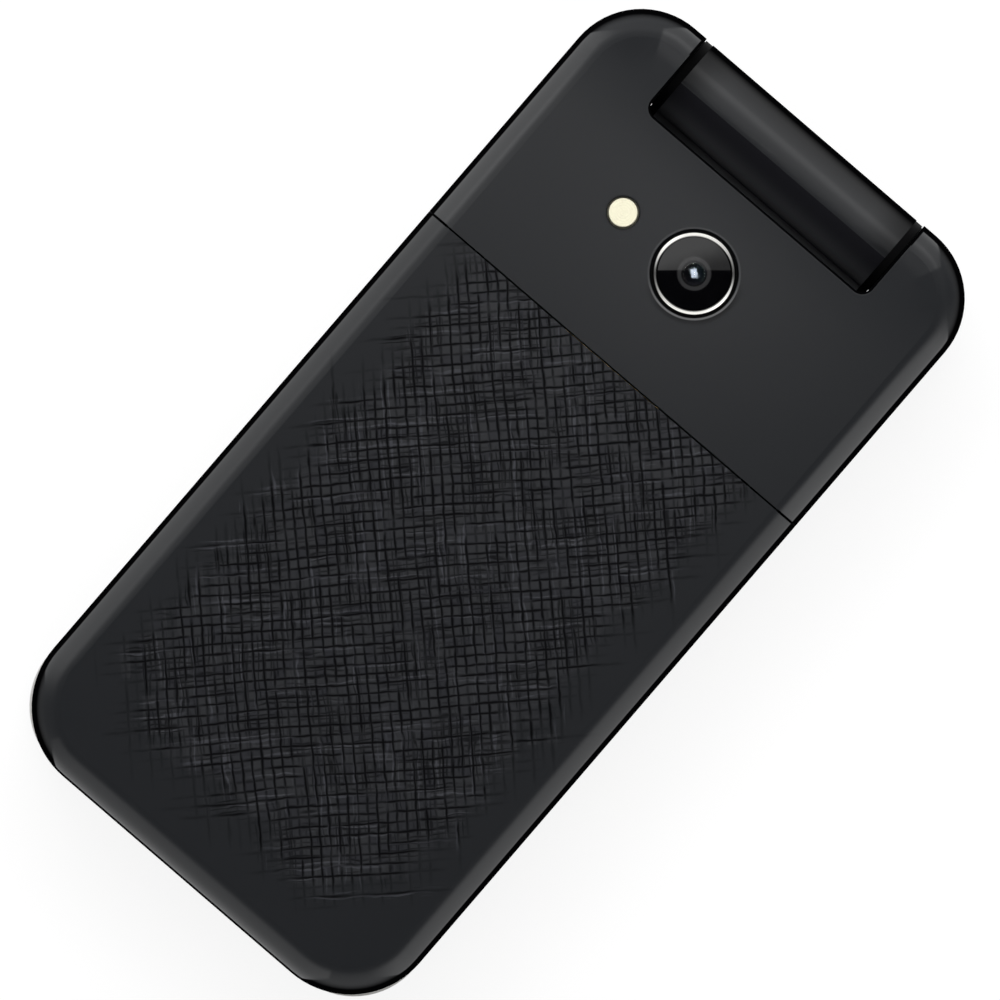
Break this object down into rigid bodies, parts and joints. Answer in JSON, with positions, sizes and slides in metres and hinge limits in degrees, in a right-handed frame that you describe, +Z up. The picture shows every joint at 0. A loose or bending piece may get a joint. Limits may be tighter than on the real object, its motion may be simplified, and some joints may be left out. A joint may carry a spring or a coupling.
{
  "type": "flip phone",
  "caption": "Closed clamshell phone with a barrel hinge, camera and flash in the back, slide-off battery cover and a keypad inside.",
  "frame": {"origin": "centre of the closed phone's footprint, on the surface that it lies on", "axes": "+Y to the hinge end, +Z up through the back with the camera, +X to the right as the back is looked at with the hinge end away"},
  "size_m": [0.055, 0.1116, 0.0182],
  "materials": {
    "housing": "satin painted charcoal plastic",
    "textured_cover": "satin charcoal plastic with a fine cross-hatched grip texture",
    "deck": "fine matt charcoal plastic",
    "gloss_black": "gloss",
    "key_plastic": "satin keys with pale figures",
    "key_green": "satin key with a green mark",
    "key_red": "satin key with a red mark",
    "nav_metal": "dark satin metallised ring",
    "bright_trim": "bright satin metallised trim",
    "polished_ring": "polished",
    "clear_glass": "domed dark glass",
    "black_glass": "black-backed glass",
    "display": "switched-off display",
    "flash_cream": "cream translucent lens",
    "circuit_board": "solder resist",
    "steel": "plain",
    "mesh": "fine woven mesh",
    "gold_contact": "gold plated",
    "flex_film": "amber polyimide film",
    "battery_wrap": "plain wrap, no label",
    "soft_rubber": "matt"
  },
  "bodies": {
    "lid": {"lid_outer_cover": "housing", "outer_window": "black_glass", "outer_display": "display", "lid_trim": "bright_trim", "lid_inner_bezel": "gloss_black", "display_window": "black_glass", "main_display": "display", "lid_board": "circuit_board", "receiver": "steel", "receiver_mesh": "mesh", "lid_bumpers": "soft_rubber", "lid_screws": "steel", "lid_magnet": "steel", "hinge_caps": "gloss_black", "hinge_can": "steel", "hinge_spring": "steel", "hinge_bush": "steel", "flex_cable": "flex_film"},
    "base": {"base_front_housing": "deck", "base_rear_housing": "housing", "main_board": "circuit_board", "dome_sheet": "flex_film", "shield_cans": "steel", "battery": "battery_wrap", "battery_contacts": "gold_contact", "hinge_shaft": "steel", "camera_module": "gloss_black", "camera_bezel": "gloss_black", "camera_ring": "polished_ring", "camera_window": "clear_glass", "flash_window": "flash_cream", "usb_connector": "steel", "microphone": "steel", "loudspeaker": "gloss_black", "vibration_motor": "steel", "antenna": "gold_contact", "sim_holder": "steel", "base_screws": "steel"},
    "battery_cover": {"battery_cover": "textured_cover"},
    "key_1": {"key_1": "key_plastic"},
    "key_2": {"key_2": "key_plastic"},
    "key_3": {"key_3": "key_plastic"},
    "key_4": {"key_4": "key_plastic"},
    "key_5": {"key_5": "key_plastic"},
    "key_6": {"key_6": "key_plastic"},
    "key_7": {"key_7": "key_plastic"},
    "key_8": {"key_8": "key_plastic"},
    "key_9": {"key_9": "key_plastic"},
    "key_star": {"key_star": "key_plastic"},
    "key_0": {"key_0": "key_plastic"},
    "key_hash": {"key_hash": "key_plastic"},
    "key_soft_left": {"key_soft_left": "key_plastic"},
    "key_soft_right": {"key_soft_right": "key_plastic"},
    "key_call": {"key_call": "key_green"},
    "key_end": {"key_end": "key_red"},
    "key_ok": {"key_ok": "nav_metal"},
    "nav_pad": {"nav_pad": "soft_rubber"},
    "nav_ring": {"nav_ring": "nav_metal"},
    "volume_key": {"volume_key": "key_plastic"}
  },
  "joints": [
    {"name": "fold", "type": "hinge", "parent": "lid", "child": "base", "pos_m": [0, 0.0508, 0.0092], "axis": [-1, 0, 0], "range_deg": [0, 160]},
    {"name": "cover_slide", "type": "slide", "parent": "base", "child": "battery_cover", "axis": [0, -1, 0], "range_m": [0, 0.08]},
    {"name": "key_1_press", "type": "slide", "parent": "base", "child": "key_1", "axis": [0, 0, 1], "range_m": [0, 0.0004], "stiffness_N_per_m": 400},
    {"name": "key_2_press", "type": "slide", "parent": "base", "child": "key_2", "axis": [0, 0, 1], "range_m": [0, 0.0004], "stiffness_N_per_m": 400},
    {"name": "key_3_press", "type": "slide", "parent": "base", "child": "key_3", "axis": [0, 0, 1], "range_m": [0, 0.0004], "stiffness_N_per_m": 400},
    {"name": "key_4_press", "type": "slide", "parent": "base", "child": "key_4", "axis": [0, 0, 1], "range_m": [0, 0.0004], "stiffness_N_per_m": 400},
    {"name": "key_5_press", "type": "slide", "parent": "base", "child": "key_5", "axis": [0, 0, 1], "range_m": [0, 0.0004], "stiffness_N_per_m": 400},
    {"name": "key_6_press", "type": "slide", "parent": "base", "child": "key_6", "axis": [0, 0, 1], "range_m": [0, 0.0004], "stiffness_N_per_m": 400},
    {"name": "key_7_press", "type": "slide", "parent": "base", "child": "key_7", "axis": [0, 0, 1], "range_m": [0, 0.0004], "stiffness_N_per_m": 400},
    {"name": "key_8_press", "type": "slide", "parent": "base", "child": "key_8", "axis": [0, 0, 1], "range_m": [0, 0.0004], "stiffness_N_per_m": 400},
    {"name": "key_9_press", "type": "slide", "parent": "base", "child": "key_9", "axis": [0, 0, 1], "range_m": [0, 0.0004], "stiffness_N_per_m": 400},
    {"name": "key_star_press", "type": "slide", "parent": "base", "child": "key_star", "axis": [0, 0, 1], "range_m": [0, 0.0004], "stiffness_N_per_m": 400},
    {"name": "key_0_press", "type": "slide", "parent": "base", "child": "key_0", "axis": [0, 0, 1], "range_m": [0, 0.0004], "stiffness_N_per_m": 400},
    {"name": "key_hash_press", "type": "slide", "parent": "base", "child": "key_hash", "axis": [0, 0, 1], "range_m": [0, 0.0004], "stiffness_N_per_m": 400},
    {"name": "key_soft_left_press", "type": "slide", "parent": "base", "child": "key_soft_left", "axis": [0, 0, 1], "range_m": [0, 0.0004], "stiffness_N_per_m": 400},
    {"name": "key_soft_right_press", "type": "slide", "parent": "base", "child": "key_soft_right", "axis": [0, 0, 1], "range_m": [0, 0.0004], "stiffness_N_per_m": 400},
    {"name": "key_call_press", "type": "slide", "parent": "base", "child": "key_call", "axis": [0, 0, 1], "range_m": [0, 0.0004], "stiffness_N_per_m": 400},
    {"name": "key_end_press", "type": "slide", "parent": "base", "child": "key_end", "axis": [0, 0, 1], "range_m": [0, 0.0004], "stiffness_N_per_m": 400},
    {"name": "key_ok_press", "type": "slide", "parent": "base", "child": "key_ok", "axis": [0, 0, 1], "range_m": [0, 0.0004], "stiffness_N_per_m": 400},
    {"name": "nav_tilt_side", "type": "hinge", "parent": "base", "child": "nav_pad", "pos_m": [0, 0.0275, 0.0092], "axis": [0, 1, 0], "range_deg": [-1.2, 1.2], "stiffness_Nm_per_rad": 0.1},
    {"name": "nav_tilt_up", "type": "hinge", "parent": "nav_pad", "child": "nav_ring", "pos_m": [0, 0.0275, 0.0092], "axis": [1, 0, 0], "range_deg": [-1.2, 1.2], "stiffness_Nm_per_rad": 0.1},
    {"name": "volume_rock", "type": "hinge", "parent": "base", "child": "volume_key", "pos_m": [0.0261, 0.031, 0.011], "axis": [0, 0, 1], "range_deg": [-1.5, 1.5], "stiffness_Nm_per_rad": 0.05}
  ]
}
